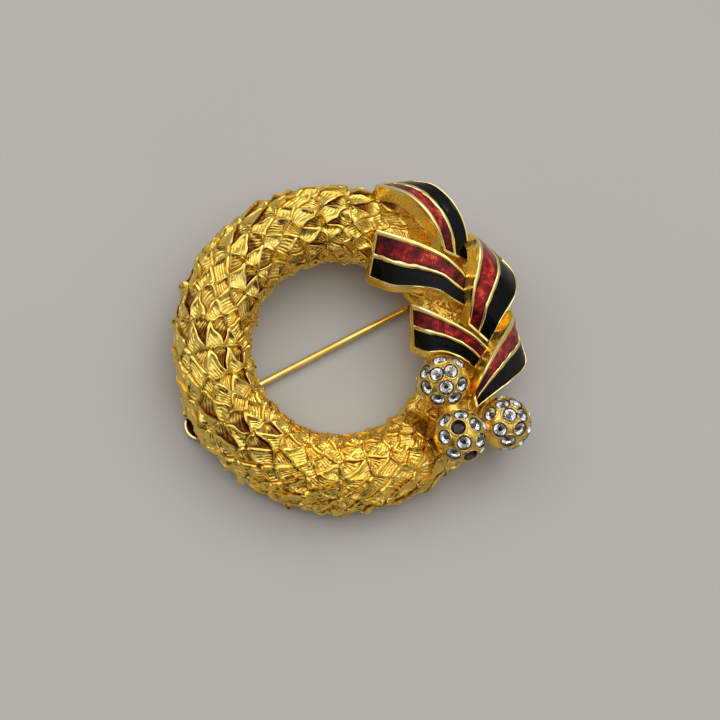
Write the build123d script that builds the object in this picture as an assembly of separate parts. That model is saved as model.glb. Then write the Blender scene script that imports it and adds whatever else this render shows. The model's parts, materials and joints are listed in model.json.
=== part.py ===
"""Wreath brooch: a cast ring of overlapping scales, a plait of five enamelled
ribbon bands, three balls set with cut stones, and a hinged pin on the back.

Lengths are millimetres and angles are degrees. The brooch is modelled on its back
plane, z = 0, with the ring's axis on z. It is then laid down the way it rests by
itself, on its pin fittings and one edge of the ring.
"""
from build123d import *
import math
import os
from collections import namedtuple

os.makedirs("parts", exist_ok=True)

# Ring: a D-shaped section swept round a circle
ring_mid_radius = 18.45
ring_half_width = 5.55
ring_height = 7.6
flank_height = 1.6
flank_inset = 0.4
scale_rows = 30
scale_columns = 13
scale_rise = 0.45
scale_dip = 0.35
scale_crown = 0.12

# Channel in the ring's back, with a flat pad left for each pin fitting
channel_depth = 2.0
channel_width = 7.6
channel_draft = 0.3
pad_half_angle = 9.0

# Ribbon bands and their enamel. The gold edges are these wide where a band is widest.
band_thickness = 1.3
band_inner_edge = 0.7
band_outer_edge = 0.45
band_divider = 0.42
band_end_wall = 0.3
enamel_depth = 0.45
enamel_crown = 0.1
enamel_clearance = 0.05
red_share = 0.47

# Balls and stones
ball_diameter = 7.7
neck_diameter = 2.6
stone_diameter = 1.8
stone_seat_clearance = 0.06
stone_sink = 0.12
girdle_thickness = 0.08
crown_height = 0.3
pavilion_depth = 0.75
table_share = 0.56
stone_sides = 8

# Pin, hinge and catch on the back
solder_gap = 0.1
stem_diameter = 1.0
stem_root_diameter = 1.3
stem_tip_diameter = 0.85
stem_taper_inset = 0.9
stem_direction = 28.0
stem_offset = 0.8
stem_drop = 1.55
stem_point_length = 3.0
stem_point_diameter = 0.3
fitting_depth = 2.4
fitting_half_width = 1.3
fitting_plate_width = 3.4
fitting_plate_thickness = 0.6
hinge_plate_tail = 1.6
rivet_diameter = 0.7
rivet_head_height = 0.25
rivet_head_diameter = 1.2
rivet_fit = 0.02
hinge_ear_thickness = 0.5
knuckle_side_clearance = 0.05
knuckle_bore_clearance = 0.03
socket_diameter = 4.4
socket_overhang = 1.5
socket_offset = 1.2
socket_height = 1.8
socket_wall = 0.25
socket_floor = 0.4
socket_ear_gap = 0.25
catch_length = 4.0
catch_slot_clearance = 0.12

# How the ring's height changes under the ribbon and the balls
RingSection = namedtuple("RingSection", "angle height_share relief_share")
ring_sections = [
    RingSection(-56, 1.00, 1.0),
    RingSection(-50, 0.88, 0.8),
    RingSection(-42, 0.60, 0.4),
    RingSection(-34, 0.58, 0.4),
    RingSection(-18, 0.62, 0.5),
    RingSection(0, 0.62, 0.7),
    RingSection(60, 0.62, 0.8),
    RingSection(71, 0.65, 0.8),
    RingSection(78, 0.80, 0.9),
    RingSection(84, 0.95, 1.0),
    RingSection(90, 1.00, 1.0),
]

# Rails of each band, inner gold edge first. A side is a share of the ring's half
# width out from its middle radius, and a rise is a share of the ring's height.
Station = namedtuple("Station", "angle1 side1 rise1 angle2 side2 rise2")
band_rails = {
    "1": [
        Station(77.8, 1.03, 0.79, 66.6, 1.53, 0.66),
        Station(72.1, 0.94, 1.05, 60.7, 1.58, 0.92),
        Station(66.1, 0.84, 1.25, 54.4, 1.43, 1.12),
        Station(58.4, 0.62, 1.38, 47.6, 1.22, 1.18),
        Station(51.3, 0.42, 1.36, 40.9, 0.96, 1.12),
        Station(43.1, 0.22, 1.14, 33.4, 0.62, 1.00),
    ],
    "2": [
        Station(73.5, -0.18, 0.92, 67.4, -1.37, 0.53),
        Station(62.0, -0.20, 1.18, 49.8, -1.39, 0.92),
        Station(50.0, -0.10, 1.35, 36.6, -1.00, 1.18),
        Station(40.0, 0.05, 1.42, 28.5, -0.62, 1.29),
        Station(33.0, 0.18, 1.36, 19.8, -0.30, 1.26),
        Station(28.9, 0.26, 1.24, 14.4, 0.11, 1.10),
    ],
    "3": [
        Station(41.3, 1.17, 1.05, 28.9, 1.64, 0.66),
        Station(37.8, 1.03, 1.32, 22.5, 1.70, 0.79),
        Station(34.3, 0.85, 1.45, 17.1, 1.47, 1.05),
        Station(29.7, 0.55, 1.51, 13.3, 1.17, 1.18),
        Station(22.8, 0.18, 1.51, 8.2, 0.78, 1.25),
        Station(15.4, 0.00, 1.36, 4.0, 0.60, 1.16),
        Station(8.6, -0.10, 1.16, 0.2, 0.45, 1.06),
    ],
    "4": [
        Station(30.6, -1.26, 0.92, -2.9, -1.43, 0.66),
        Station(23.0, -1.05, 1.10, -7.5, -1.15, 0.98),
        Station(13.2, -0.70, 1.27, -6.2, -0.81, 1.12),
        Station(7.2, -0.38, 1.36, -7.7, -0.46, 1.20),
        Station(2.0, -0.03, 1.40, -9.8, -0.15, 1.20),
        Station(-2.9, 0.36, 1.30, -12.0, 0.11, 1.12),
    ],
    "5": [
        Station(11.6, 1.19, 1.05, 3.3, 1.52, 0.53),
        Station(7.7, 1.06, 1.25, -5.3, 1.63, 0.66),
        Station(2.6, 0.77, 1.40, -12.2, 1.20, 0.92),
        Station(-4.1, 0.47, 1.52, -16.0, 0.95, 1.02),
        Station(-11.6, 0.28, 1.52, -21.0, 0.68, 1.12),
        Station(-19.8, 0.20, 1.38, -25.2, 0.50, 1.20),
        Station(-23.5, 0.24, 1.26, -26.8, 0.44, 1.20),
    ],
}
stations_per_span = 3

# Where each ball sits, and the direction of each of its stones from its centre
Ball = namedtuple("Ball", "angle side")
balls = {
    "upper": Ball(-22.4, -0.59),
    "lower": Ball(-39.8, 0.46),
    "outer": Ball(-26.0, 1.37),
}
Seat = namedtuple("Seat", "azimuth elevation filled")
stone_seats = {
    "upper": [
        Seat(158, 26, True),
        Seat(160, 59, True),
        Seat(79, 73, True),
        Seat(-160, 30, True),
        Seat(-111, 68, True),
        Seat(-21, 56, True),
        Seat(-117, 32, True),
        Seat(-70, 41, True),
        Seat(110, 34, True),
        Seat(56, 37, True),
        Seat(-150, -14, True),
        Seat(165, -18, True),
    ],
    "lower": [
        Seat(144, 27, True),
        Seat(100, 44, True),
        Seat(40, 60, True),
        Seat(-169, 38, True),
        Seat(-102, 66, True),
        Seat(-24, 47, True),
        Seat(-118, 30, True),
        Seat(147, 69, False),
        Seat(-72, 30, False),
        Seat(-33, 15, True),
        Seat(23, 25, True),
        Seat(-92, -9, True),
        Seat(-50, -18, True),
    ],
    "outer": [
        Seat(157, 38, True),
        Seat(109, 44, True),
        Seat(99, 77, True),
        Seat(26, 55, True),
        Seat(-140, 57, True),
        Seat(-38, 60, True),
        Seat(-93, 42, True),
        Seat(-14, 23, True),
        Seat(66, 36, True),
        Seat(-49, 17, True),
        Seat(22, 14, True),
        Seat(-20, -10, True),
        Seat(-85, 5, True),
        Seat(56, 2, True),
        Seat(92, 8, True),
    ],
}


# Sizes worked out from the ones above
half_rows = 2 * scale_rows
ball_radius = ball_diameter / 2
stone_radius = stone_diameter / 2
stem_radius = stem_diameter / 2
ring_outer_radius = ring_mid_radius + ring_half_width
ring_base_radius = ring_outer_radius - flank_inset


def between(table, column, x):
    """Value of one column of a table at x, on straight lines between its rows."""
    if x <= table[0].angle:
        return getattr(table[0], column)
    for low, high in zip(table, table[1:]):
        if x <= high.angle:
            share = (x - low.angle) / (high.angle - low.angle)
            return getattr(low, column) * (1 - share) + getattr(high, column) * share
    return getattr(table[-1], column)


def height_at(angle):
    """Height of the ring's section at an angle round the ring."""
    signed = (angle + 180) % 360 - 180
    return ring_height * between(ring_sections, "height_share", signed)


def relief_at(angle):
    signed = (angle + 180) % 360 - 180
    return between(ring_sections, "relief_share", signed)


def polar(radius, angle, z):
    turn = math.radians(angle)
    return (radius * math.cos(turn), radius * math.sin(turn), z)


def section_point(angle, turn, lift):
    """Point of the ring's domed surface. turn runs from 0 outside to 180 inside."""
    lean = math.radians(turn)
    dome = height_at(angle) - flank_height
    radius = ring_mid_radius + (ring_half_width + lift) * math.cos(lean)
    return polar(radius, angle, flank_height + (dome + lift) * math.sin(lean))


def wobble(j, k, seed):
    """Small repeatable unevenness of the hand-carved pattern, from -1 to 1."""
    return math.sin(12.99 * j + 78.23 * k + 37.72 * seed)


def solid_of(polygons):
    """Closed solid from flat polygons, with repeated corners left out."""
    faces = []
    for polygon in polygons:
        corners = []
        for point in polygon:
            if all(math.dist(point, other) > 1e-6 for other in corners):
                corners.append(point)
        if len(corners) > 2:
            wire = Wire.make_polygon([Vector(*point) for point in corners], close=True)
            faces.append(Face(wire))
    return Solid(Shell(faces))


def split(quad):
    return [(quad[0], quad[1], quad[2]), (quad[0], quad[2], quad[3])]


def scale_node(j, k, level):
    """Corner of the scale lattice at half row j and column k.

    Each corner holds three heights: the tip of one scale, the sides of two, and the
    base of the next. The first and last columns meet the plain flanks, so there the
    three heights are one point.
    """
    row = j % half_rows
    angle = 360 / half_rows * (row + 0.42 * wobble(row, k, 1))
    turn = 180 / scale_columns * k
    if k in (0, scale_columns):
        return section_point(360 / half_rows * row, turn, 0)
    turn += 180 / scale_columns * 0.34 * wobble(row, k, 2)
    lift = {
        "tip": scale_rise * (1 + 0.3 * wobble(row, k, 3)),
        "side": scale_rise * (0.1 + 0.35 * wobble(row, k, 8)),
        "base": -scale_dip * (1 + 0.35 * wobble(row, k, 9)),
    }[level]
    return section_point(angle, turn, lift * relief_at(angle))


def scale_centre(corners, j, k):
    middle = [sum(axis) / len(corners) for axis in zip(*corners)]
    angle = math.degrees(math.atan2(middle[1], middle[0]))
    lean = math.radians(180 / scale_columns * k)
    lift = scale_crown * relief_at(angle) * (1 + wobble(j, k, 4))
    out = lift * math.cos(lean)
    turn = math.radians(angle)
    return (
        middle[0] + out * math.cos(turn),
        middle[1] + out * math.sin(turn),
        middle[2] + lift * math.sin(lean),
    )


def scale_faces(j, k):
    """One scale with the two steps down from its tip to the scales in front."""
    base = scale_node(j + 1, k, "base")
    tip = scale_node(j - 1, k, "tip")
    tip_side = scale_node(j - 1, k, "side")
    outer, outer_low = (scale_node(j, k - 1, level) for level in ("side", "base"))
    inner, inner_low = (scale_node(j, k + 1, level) for level in ("side", "base"))
    corners = [base, inner, tip, outer]
    centre = scale_centre(corners, j, k)
    faces = [(corners[i - 1], corners[i], centre) for i in range(4)]
    faces += split((outer, tip, tip_side, outer_low))
    faces += split((tip, inner, inner_low, tip_side))
    return faces


def edge_scale_faces(j, k):
    """Half a scale on the first or last column, with its one step."""
    base = scale_node(j + 1, k, "base")
    tip = scale_node(j - 1, k, "tip")
    if k == 0:
        inner, inner_low = (scale_node(j, 1, level) for level in ("side", "base"))
        return [(base, inner, tip), (tip, inner, inner_low)]
    outer, outer_low = (scale_node(j, k - 1, level) for level in ("side", "base"))
    return [(base, tip, outer), (outer, tip, outer_low)]


def base_point(j, radius, z):
    return polar(radius, 360 / half_rows * (j % half_rows), z)


def flank_faces(j, k):
    """Plain flank under one half scale, down to the back plane."""
    radius = ring_base_radius if k == 0 else 2 * ring_mid_radius - ring_base_radius
    before, after = scale_node(j - 1, k, "base"), scale_node(j + 1, k, "base")
    low = [base_point(j + i, radius, 0) for i in (-1, 0, 1)]
    faces = [(after, before, low[1]), (before, low[0], low[1]), (after, low[1], low[2])]
    if k == 0:
        return faces
    return [face[::-1] for face in faces]


def angle_apart(a, b):
    return abs((a - b + 180) % 360 - 180)


def channel_floor(j):
    """Height of the channel's floor: nothing on the pads that carry the fittings."""
    angle = 360 / half_rows * j
    pads = (stem_direction, stem_direction + 180)
    on_pad = any(angle_apart(angle, pad) <= pad_half_angle for pad in pads)
    return 0 if on_pad else channel_depth


def back_faces(j):
    half = channel_width / 2
    rows = [
        (ring_base_radius, 0),
        (ring_mid_radius + half, 0),
        (ring_mid_radius + half - channel_draft, 1),
        (ring_mid_radius - half + channel_draft, 1),
        (ring_mid_radius - half, 0),
        (2 * ring_mid_radius - ring_base_radius, 0),
    ]
    faces = []
    for (out, out_depth), (inn, in_depth) in zip(rows, rows[1:]):
        here, there = channel_floor(j), channel_floor(j + 1)
        faces += split((
            base_point(j, out, out_depth * here),
            base_point(j, inn, in_depth * here),
            base_point(j + 1, inn, in_depth * there),
            base_point(j + 1, out, out_depth * there),
        ))
    return faces


def make_ring():
    faces = []
    for j in range(half_rows):
        for k in range(1, scale_columns):
            if (j + k) % 2 == 0:
                faces += scale_faces(j, k)
        for k in (0, scale_columns):
            if (j + k) % 2 == 0:
                faces += edge_scale_faces(j, k)
                faces += flank_faces(j, k)
        faces += back_faces(j)
    return solid_of(faces)


def rail_point(angle, side, rise):
    return Vector(*polar(ring_mid_radius + side * ring_half_width, angle, rise * ring_height))


def curve_through(points, per_span):
    """Points on a smooth curve through the given ones, with even steps per span."""
    ends = [points[0] * 2 - points[1], *points, points[-1] * 2 - points[-2]]
    curve = []
    for before, start, end, after in zip(ends, ends[1:], ends[2:], ends[3:]):
        start_slope = (end - before) / 2
        end_slope = (after - start) / 2
        for step in range(per_span):
            t = step / per_span
            share = t * t * (3 - 2 * t)
            curve.append(
                start * (1 - share) + end * share
                + start_slope * (t * (1 - t) ** 2) - end_slope * (t * t * (1 - t))
            )
    curve.append(points[-1])
    return curve


BandFrame = namedtuple("BandFrame", "origin across up width narrowing")


def band_frames(rails):
    """Frames along a band: its first rail, the way across, its upper side."""
    first = curve_through([rail_point(s.angle1, s.side1, s.rise1) for s in rails], stations_per_span)
    second = curve_through([rail_point(s.angle2, s.side2, s.rise2) for s in rails], stations_per_span)
    along = (first[1] + second[1] - first[0] - second[0]).normalized()
    back = (first[-1] + second[-1] - first[-2] - second[-2]).normalized()
    for rail in (first, second):
        rail.insert(1, rail[0] + along * band_end_wall)
        rail.insert(-1, rail[-1] - back * band_end_wall)
    widest = max((b - a).length for a, b in zip(first, second))
    frames = []
    for i, (a, b) in enumerate(zip(first, second)):
        low, high = max(i - 1, 0), min(i + 1, len(first) - 1)
        path = (first[high] + second[high]) - (first[low] + second[low])
        across = b - a
        up = across.cross(path).normalized()
        if up.Z < 0:
            up = up * -1
        frames.append(BandFrame(a, across.normalized(), up, across.length, across.length / widest))
    return frames


def frame_point(frame, across, up):
    point = frame.origin + frame.across * across + frame.up * up
    return (point.X, point.Y, point.Z)


def channel_edges(frame):
    """Both sides of the red and the black channel, measured across the band."""
    inner, divider, outer = (
        width * frame.narrowing for width in (band_inner_edge, band_divider, band_outer_edge)
    )
    red = (inner, inner + red_share * (frame.width - inner - divider - outer))
    black = (red[1] + divider, frame.width - outer)
    return red, black


def skin(sections):
    """Solid from closed outlines with the same number of points, capped at its ends."""
    faces = [sections[0][::-1], sections[-1]]
    for here, there in zip(sections, sections[1:]):
        for i in range(len(here)):
            faces += split((here[i - 1], here[i], there[i], there[i - 1]))
    solid = solid_of(faces)
    if solid.volume < 0:
        solid = solid_of([face[::-1] for face in faces])
    return solid


def make_band(rails):
    frames = band_frames(rails)
    sections = []
    for i, frame in enumerate(frames):
        depth = 0 if i in (0, 1, len(frames) - 2, len(frames) - 1) else enamel_depth
        outline = [(0, 0)]
        for low, high in channel_edges(frame):
            outline += [(low, 0), (low, -depth), (high, -depth), (high, 0)]
        outline += [(frame.width, 0), (frame.width, -band_thickness), (0, -band_thickness)]
        sections.append([frame_point(frame, *point) for point in outline])
    return skin(sections)


def make_enamel(rails, colour):
    sections = []
    for frame in band_frames(rails)[2:-2]:
        low, high = channel_edges(frame)[colour]
        low, high = low + enamel_clearance, high - enamel_clearance
        outline = [
            (low, enamel_clearance - enamel_depth),
            (high, enamel_clearance - enamel_depth),
            (high, 0),
            ((low + high) / 2, enamel_crown),
            (low, 0),
        ]
        sections.append([frame_point(frame, *point) for point in outline])
    return skin(sections)


def ball_centre(ball):
    """Centre of a ball lowered onto the ring until only the solder gap is left."""
    x, y, _ = polar(ring_mid_radius + ball.side * ring_half_width, ball.angle, 0)
    reach = ball_radius + solder_gap
    highest = 0
    for step in range(-16, 17):
        angle = ball.angle + step
        for turn in range(0, 181, 5):
            px, py, pz = section_point(angle, turn, scale_rise * relief_at(angle))
            flat = math.hypot(px - x, py - y)
            if flat < reach:
                highest = max(highest, pz + math.sqrt(reach ** 2 - flat ** 2))
    return Vector(x, y, highest)


def direction(azimuth, elevation):
    lean = math.radians(elevation)
    return Vector(*polar(math.cos(lean), azimuth, math.sin(lean)))


def stone_plane(ball, seat):
    """Plane of a stone's girdle, facing straight out of the ball."""
    out = direction(seat.azimuth, seat.elevation)
    seat_radius = stone_radius + stone_seat_clearance
    rim = math.sqrt(ball_radius ** 2 - seat_radius ** 2)
    return Plane(origin=ball_centre(ball) + out * (rim - stone_sink), z_dir=out)


def seat_cutter():
    """Round hole that takes a stone from outside, tapered below the girdle."""
    radius = stone_radius + stone_seat_clearance
    clear = girdle_thickness / 2 + stone_seat_clearance
    bore = Pos(0, 0, -clear) * Cylinder(
        radius, stone_diameter, align=(Align.CENTER, Align.CENTER, Align.MIN)
    )
    taper = Pos(0, 0, -clear) * Cone(
        radius, radius / 4, pavilion_depth + stone_seat_clearance,
        align=(Align.CENTER, Align.CENTER, Align.MIN), rotation=(180, 0, 0),
    )
    return bore + taper


def make_ball_cluster():
    centres = {name: ball_centre(ball) for name, ball in balls.items()}
    down = (0, 0, -1)
    cluster = Part()
    for name, centre in centres.items():
        neighbour = centres["upper" if name == "lower" else "lower"]
        seam = Plane(origin=centre, x_dir=down, z_dir=neighbour - centre)
        cluster += seam * Sphere(ball_radius)
    for other in ("upper", "outer"):
        start, end = centres["lower"], centres[other]
        link = Plane(origin=start, z_dir=end - start)
        neck = Cylinder(
            neck_diameter / 2, (end - start).length, align=(Align.CENTER, Align.CENTER, Align.MIN)
        )
        cluster += link * neck
    cutter = seat_cutter()
    for name, seats in stone_seats.items():
        for seat in seats:
            cluster -= stone_plane(balls[name], seat) * cutter
    return cluster


def circle_points(radius, z, turn):
    points = []
    for i in range(stone_sides):
        angle = math.tau * (i + turn) / stone_sides
        points.append((radius * math.cos(angle), radius * math.sin(angle), z))
    return points


def make_stone():
    """Cut stone with a table, eight crown facets and eight pavilion facets."""
    table = circle_points(stone_radius * table_share, girdle_thickness / 2 + crown_height, 0)
    upper = circle_points(stone_radius, girdle_thickness / 2, 0)
    lower = circle_points(stone_radius, -girdle_thickness / 2, 0)
    culet = (0, 0, -girdle_thickness / 2 - pavilion_depth)
    faces = [table]
    for i in range(stone_sides):
        faces.append((upper[i - 1], upper[i], table[i], table[i - 1]))
        faces.append((lower[i - 1], lower[i], upper[i], upper[i - 1]))
        faces.append((culet, lower[i], lower[i - 1]))
    return solid_of(faces)


def make_stones(name):
    stone = make_stone()
    placed = []
    for seat in stone_seats[name]:
        if seat.filled:
            placed.append(stone_plane(balls[name], seat) * stone)
    return Compound(placed)


# Pin parts are drawn with x along the stem, from the hinge to the catch
pin_place = Rot(0, 0, stem_direction) * Pos(0, stem_offset, 0)
ear_radius = fitting_depth - stem_drop
socket_radius = socket_diameter / 2
socket_x = socket_radius - ring_base_radius - socket_overhang
rivet_x = socket_x + socket_radius + socket_ear_gap + ear_radius
catch_reach = ring_outer_radius
plate_top = -solder_gap
plate_bottom = plate_top - fitting_plate_thickness
knuckle_half_width = fitting_half_width - hinge_ear_thickness - knuckle_side_clearance
knuckle_radius = stem_drop + plate_bottom - knuckle_side_clearance


def across_pin(radius, half_width, x):
    """Cylinder lying across the pin at the height of the stem's middle."""
    return Pos(x, 0, -stem_drop) * Rot(90, 0, 0) * Cylinder(radius, 2 * half_width)


def fitting_plate(x_min, length):
    plate = Box(length, fitting_plate_width, fitting_plate_thickness, align=(Align.MIN, Align.CENTER, Align.MAX))
    return Pos(x_min, 0, plate_top) * plate


def hinge_ear(side):
    drop = stem_drop + plate_bottom
    y = side * (fitting_half_width - hinge_ear_thickness / 2)
    web = Box(2 * ear_radius, hinge_ear_thickness, drop, align=(Align.CENTER, Align.CENTER, Align.MAX))
    foot = Pos(rivet_x, y, plate_bottom) * web
    return foot + Pos(0, y, 0) * across_pin(ear_radius, hinge_ear_thickness / 2, rivet_x)


def make_hinge():
    """Plate with two ears, and the open round cup that shows beyond the ring."""
    hinge = fitting_plate(socket_x, rivet_x - socket_x + hinge_plate_tail)
    hinge += hinge_ear(1) + hinge_ear(-1)
    hinge -= across_pin(rivet_diameter / 2 + rivet_fit, fitting_plate_width, rivet_x)
    mouth = Pos(socket_x, -socket_offset, plate_top)
    downward = (Align.CENTER, Align.CENTER, Align.MAX)
    cup = Cylinder(socket_radius, socket_height, align=downward)
    bore = Cylinder(socket_radius - socket_wall, socket_height - socket_floor, align=downward)
    return hinge + mouth * cup - mouth * bore


def make_rivet():
    """Rivet through both ears, with a head outside each."""
    shank = across_pin(rivet_diameter / 2, fitting_half_width + rivet_fit, rivet_x)
    rivet = shank
    for side in (1, -1):
        y = side * (fitting_half_width + rivet_fit + rivet_head_height / 2)
        rivet += Pos(0, y, 0) * across_pin(rivet_head_diameter / 2, rivet_head_height / 2, rivet_x)
    return rivet


def make_stem():
    """Pin stem: an eye on the rivet and a round wire, straight where the ring is open."""
    straight_half = ring_mid_radius - ring_half_width - stem_taper_inset
    profile = Polyline(
        (rivet_x, 0),
        (rivet_x, stem_root_diameter / 2),
        (-straight_half, stem_radius),
        (straight_half, stem_radius),
        (catch_reach - stem_point_length, stem_tip_diameter / 2),
        (catch_reach, stem_point_diameter / 2),
        (catch_reach, 0),
        close=True,
    )
    wire = Pos(0, 0, -stem_drop) * revolve(make_face(profile), Axis.X)
    stem = wire + across_pin(knuckle_radius, knuckle_half_width, rivet_x)
    return stem - across_pin(rivet_diameter / 2 + knuckle_bore_clearance, fitting_half_width, rivet_x)


def make_catch():
    """Plain catch whose two cheeks stand either side of the stem."""
    x_min = catch_reach - catch_length
    slot_half = stem_tip_diameter / 2 + catch_slot_clearance
    body = Box(
        catch_length, 2 * fitting_half_width, fitting_depth + plate_top,
        align=(Align.MIN, Align.CENTER, Align.MAX),
    )
    slot = Box(
        2 * catch_length, 2 * slot_half, fitting_depth,
        align=(Align.CENTER, Align.CENTER, Align.MAX),
    )
    round_top = Pos(0, 0, -stem_drop) * Rot(0, 90, 0) * Cylinder(slot_half, 2 * catch_reach)
    catch = Pos(x_min, 0, plate_top) * body - Pos(catch_reach, 0, -stem_drop) * slot - round_top
    return catch + fitting_plate(x_min, catch_length)


# Pose at rest: on the fittings' edges and on the ring's edge furthest from them
rest_arm = ring_base_radius + stem_offset - fitting_half_width
rest_tilt = math.degrees(math.atan2(fitting_depth, rest_arm))
stem_way = polar(1, stem_direction, 0)
rest_axis = Axis((0, 0, 0), stem_way)

pieces = {"wreath_ring": make_ring()}
for name, rails in band_rails.items():
    pieces["ribbon_" + name] = make_band(rails)
    pieces["enamel_red_" + name] = make_enamel(rails, 0)
    pieces["enamel_black_" + name] = make_enamel(rails, 1)
pieces["ball_cluster"] = make_ball_cluster()
for name in balls:
    pieces["stones_" + name] = make_stones(name)
pieces["pin_hinge"] = pin_place * make_hinge()
pieces["hinge_rivet"] = pin_place * make_rivet()
pieces["pin_stem"] = pin_place * make_stem()
pieces["pin_catch"] = pin_place * make_catch()

laid = {name: piece.rotate(rest_axis, rest_tilt) for name, piece in pieces.items()}
boxes = [piece.bounding_box() for piece in laid.values()]
low = [min(getattr(box.min, axis) for box in boxes) for axis in "XYZ"]
high = [max(getattr(box.max, axis) for box in boxes) for axis in "XYZ"]
shift = Vector(-(low[0] + high[0]) / 2, -(low[1] + high[1]) / 2, -low[2])

for name, piece in laid.items():
    export_step(piece.moved(Location(shift)), "parts/" + name + ".step")


def laid_point(point):
    """Place of a point once the brooch is laid down."""
    return point.rotate(rest_axis, rest_tilt) + shift


def pin_point(x, y):
    return (pin_place * Pos(x, y, -stem_drop)).position


for label, point in (
    ("rivet", pin_point(rivet_x, 0)),
    ("beside the rivet", pin_point(rivet_x, 1)),
    ("stem's middle", pin_point(0, 0)),
    ("stem's point", pin_point(catch_reach, 0)),
    ("ring centre", Vector(0, 0, 0)),
    ("above ring centre", Vector(0, 0, 1)),
):
    print(label, [round(value, 4) for value in laid_point(point)])
print("tilt", round(rest_tilt, 3), "box", [round(h - l, 2) for h, l in zip(high, low)])
for name, ball in balls.items():
    print("ball", name, [round(value, 2) for value in ball_centre(ball)])
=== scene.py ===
"""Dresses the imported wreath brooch.

The ring, the ribbon bands with their enamel, the balls and the stones are made again in
fine meshes, from the same named sizes and tables as the part's source. The pin keeps its
CAD nodes. Lengths here are millimetres in the ring's own frame, with the ring's axis on z,
and one matrix carries them to the place where the brooch lies.
"""

import json
import math
from collections import namedtuple
from functools import partial

import bmesh
import bpy
import numpy as np
from mathutils import Matrix, Vector, noise


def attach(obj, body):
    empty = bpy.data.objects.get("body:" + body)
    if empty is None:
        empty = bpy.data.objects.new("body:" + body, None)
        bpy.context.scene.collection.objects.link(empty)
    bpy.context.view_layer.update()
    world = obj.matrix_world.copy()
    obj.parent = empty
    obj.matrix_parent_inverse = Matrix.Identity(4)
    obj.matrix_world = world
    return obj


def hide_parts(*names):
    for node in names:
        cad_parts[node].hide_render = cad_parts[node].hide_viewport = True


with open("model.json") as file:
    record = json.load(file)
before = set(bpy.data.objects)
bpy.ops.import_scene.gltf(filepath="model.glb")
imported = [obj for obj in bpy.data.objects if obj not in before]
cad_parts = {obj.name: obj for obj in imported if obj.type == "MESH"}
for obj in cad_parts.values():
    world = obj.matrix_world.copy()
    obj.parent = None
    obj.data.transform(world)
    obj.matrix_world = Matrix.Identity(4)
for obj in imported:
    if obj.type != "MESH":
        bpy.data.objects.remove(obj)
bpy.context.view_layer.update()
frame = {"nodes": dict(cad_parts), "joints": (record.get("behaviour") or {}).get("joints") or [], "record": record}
mm = 0.001

# Ring
ring_mid_radius = 18.45
ring_half_width = 5.55
ring_height = 7.6
flank_height = 1.6
flank_inset = 0.4
scale_rows = 30
scale_columns = 13
scale_rise = 0.45
scale_dip = 0.35
channel_depth = 2.0
channel_width = 7.6
channel_draft = 0.3
pad_half_angle = 9.0
join_distance = 0.0002

# Carving of each scale
scale_steps = 18
scale_side = 2.45
stray_along = 0.42
stray_across = 0.34
side_lift = 0.1
tip_variety = 0.45
side_variety = 0.35
rim_width = 0.5
rim_rise = 0.17
scoop_run = 0.3
scoop_depth = 0.34
scale_lean = 0.16
crease_depth = 0.14
crevice_width = 0.2
groove_depth = 0.06
groove_steps = 3
tip_blunt = 0.3
tip_lift = 1.15
tip_droop = 0.3
line_waver = 0.42
waver_size = 1.7
waver_seed = 3
cast_lumps = ((2.6, 0.16), (0.8, 0.07))
edge_lump_size = 1.9
edge_lump_shift = Vector((5, 0, 0))
edge_lump_dent = -0.1
outer_lump_rise = 0.75
inner_lump_rise = 0.45
stipple_size = 0.3
stipple_depth = 0.09
stipple_least = 0.25
cast_fade_height = 0.9
flank_steps = 9
flank_quickness = 1.4

# Stretches of the ring that are carved in another way, with a fade at both ends, and how much
# calmer their relief is
Stretch = namedtuple("Stretch", "start end fade calm", defaults=[0])
under_plait = Stretch(2, 68, 10, 0.5)
under_balls = Stretch(-128, -46, 16, 0.2)
pitted_low = Stretch(-132, -46, 16)
plain_stretch = Stretch(-182, -112, 14, 0.85)
plain_turn = 36
inner_turn = 42
inner_relief = 0.4

# Ribbon bands and their enamel
band_thickness = 1.3
band_inner_edge = 0.7
band_outer_edge = 0.45
band_divider = 0.42
band_end_wall = 0.3
enamel_depth = 0.45
gold_flare = 0.15
gold_rim_rise = 0.11
gold_rim_round = 0.17
hand_waver = 0.15
outer_waver_share = 0.3
waver_run = 1.1
waver_apart = 7.3
end_round = ((0.5, 0.30), (0.82, 0.2), (0.96, 0.07))
flank_drop = 1.9
wide_flank = 0.5
stations_per_span = 9
enamel_level = -0.05
enamel_swell = 0.05
enamel_edge_rise = 0.05
enamel_spans = 10

# Balls and stones
ball_diameter = 7.7
neck_diameter = 2.6
stone_diameter = 1.8
stone_seat_clearance = 0.06
stone_sink = 0.12
solder_gap = 0.1
seat_shadow = 0.06
seat_rim_rise = 0.11
seat_rim_width = 0.24
# A painted dark line of shade just outside each seat's rim: its width as a share of the rim, and its darkness
seat_line_share = 0.7
seat_line_shade = 0.45
empty_seat_depth = 0.8
empty_seat_hollow = 0.35
ball_columns = 176
ball_rows = 88
neck_sides = 32
girdle_thickness = 0.08
crown_height = 0.3
pavilion_depth = 0.75
table_share = 0.56
star_share = 0.80
lower_share = 0.42
stone_turn = -1.7

# Pin
stem_direction = 28.0
stem_offset = 0.8
stem_drop = 1.55
socket_diameter = 4.4
socket_overhang = 1.5
socket_offset = 1.2
socket_height = 1.8
socket_wall = 0.25
socket_floor = 0.4

RingSection = namedtuple("RingSection", "angle height_share relief_share")
ring_sections = [
    RingSection(-56, 1.00, 1.0),
    RingSection(-50, 0.88, 0.8),
    RingSection(-42, 0.60, 0.4),
    RingSection(-34, 0.58, 0.4),
    RingSection(-18, 0.62, 0.5),
    RingSection(0, 0.62, 0.7),
    RingSection(60, 0.62, 0.8),
    RingSection(71, 0.65, 0.8),
    RingSection(78, 0.80, 0.9),
    RingSection(84, 0.95, 1.0),
    RingSection(90, 1.00, 1.0),
]

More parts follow.
